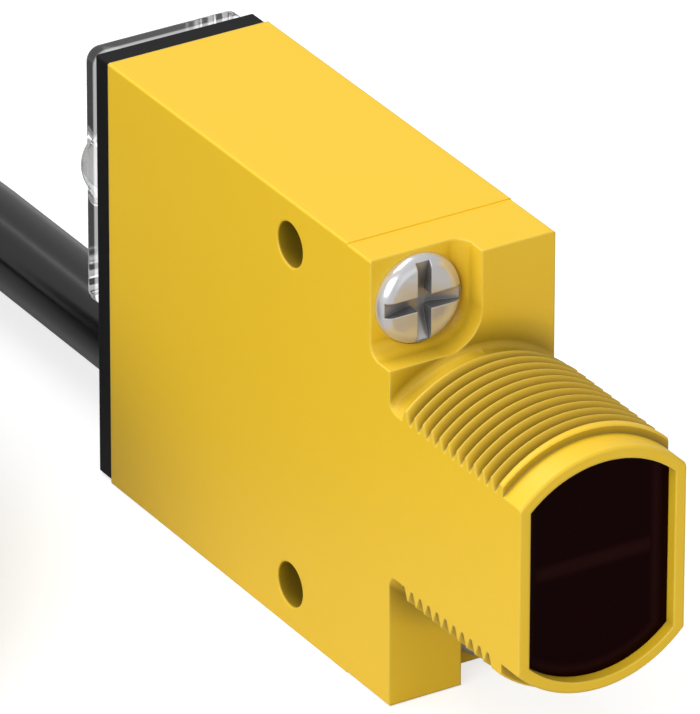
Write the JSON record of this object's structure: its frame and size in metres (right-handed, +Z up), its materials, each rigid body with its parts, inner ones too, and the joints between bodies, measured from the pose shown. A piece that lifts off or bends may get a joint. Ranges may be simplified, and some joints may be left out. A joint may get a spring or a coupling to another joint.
{
  "type": "diffuse photoelectric sensor",
  "caption": "Slim rectangular photoelectric sensor with a flatted, threaded barrel, dark red lens window, clear cover over rear controls and a coiled cable.",
  "frame": {"origin": "middle of the base of the sensor's bounding box, cable left out; the sensor stands on the narrow underside of its housing", "axes": "+Z up, lens looks along -Y, cable leaves along +Y, X across the narrow width"},
  "size_m": [0.1104, 0.1112, 0.0307],
  "materials": {
    "black_polyester": "moulded thermoplastic, fine satin",
    "yellow_polyester": "moulded thermoplastic, satin",
    "seal_rubber": "soft moulded",
    "stainless": "bright, turned",
    "red_window": "polished, deep red",
    "optics_black": "dull",
    "red_epoxy": "clear tinted epoxy",
    "smoked_epoxy": "dark tinted epoxy",
    "board_green": "solder-masked board",
    "tinned_pins": "tinned",
    "chip_black": "moulded packages",
    "can_aluminium": "drawn can",
    "ceramic_tan": "ceramic chips",
    "pot_blue": "moulded trimmer body",
    "gain_brass": "turned",
    "rotor_white": "moulded",
    "clear_acrylic": "clear, polished",
    "cable_grey": "soft jacket, satin",
    "lead_brown": "insulation",
    "lead_blue": "insulation",
    "lead_black": "insulation",
    "lead_white": "insulation"
  },
  "bodies": {
    "sensor": {"front_barrel_cover": "yellow_polyester", "rear_plate": "black_polyester", "main_housing": "yellow_polyester", "front_seal": "seal_rubber", "cover_gasket": "seal_rubber", "front_screws": "stainless", "lens_window": "red_window", "optics_block": "optics_black", "emitter_led": "red_epoxy", "receiver_phototransistor": "smoked_epoxy", "sensor_board": "board_green", "main_board": "board_green", "header_pins": "tinned_pins", "header_strip": "optics_black", "controller_chip": "chip_black", "amplifier_chip": "chip_black", "voltage_regulator": "chip_black", "output_transistors": "chip_black", "protection_diodes": "chip_black", "smoothing_capacitor": "can_aluminium", "chip_resistors": "chip_black", "chip_capacitors": "ceramic_tan", "gain_potentiometer": "pot_blue", "mode_switch": "pot_blue", "indicator_lamp": "red_epoxy", "strain_relief": "cable_grey", "inner_leads": "cable_grey", "cable": "cable_grey", "cable_coil": "cable_grey", "cable_tail": "cable_grey", "brown_lead": "lead_brown", "blue_lead": "lead_blue", "black_lead": "lead_black", "white_lead": "lead_white"},
    "gain_screw": {"gain_screw": "gain_brass"},
    "mode_rotor": {"mode_rotor": "rotor_white"},
    "clear_cover": {"clear_cover": "clear_acrylic"}
  },
  "joints": [
    {"name": "gain_turn", "type": "hinge", "parent": "sensor", "child": "gain_screw", "pos_m": [0, 0.02378, 0.0256], "axis": [0, 1, 0], "continuous": true},
    {"name": "mode_turn", "type": "hinge", "parent": "sensor", "child": "mode_rotor", "pos_m": [0, 0.02378, 0.0162], "axis": [0, 1, 0], "range_deg": [0, 210]},
    {"name": "cover_pull", "type": "slide", "parent": "sensor", "child": "clear_cover", "axis": [0, 1, 0], "range_m": [0, 0.01]}
  ]
}
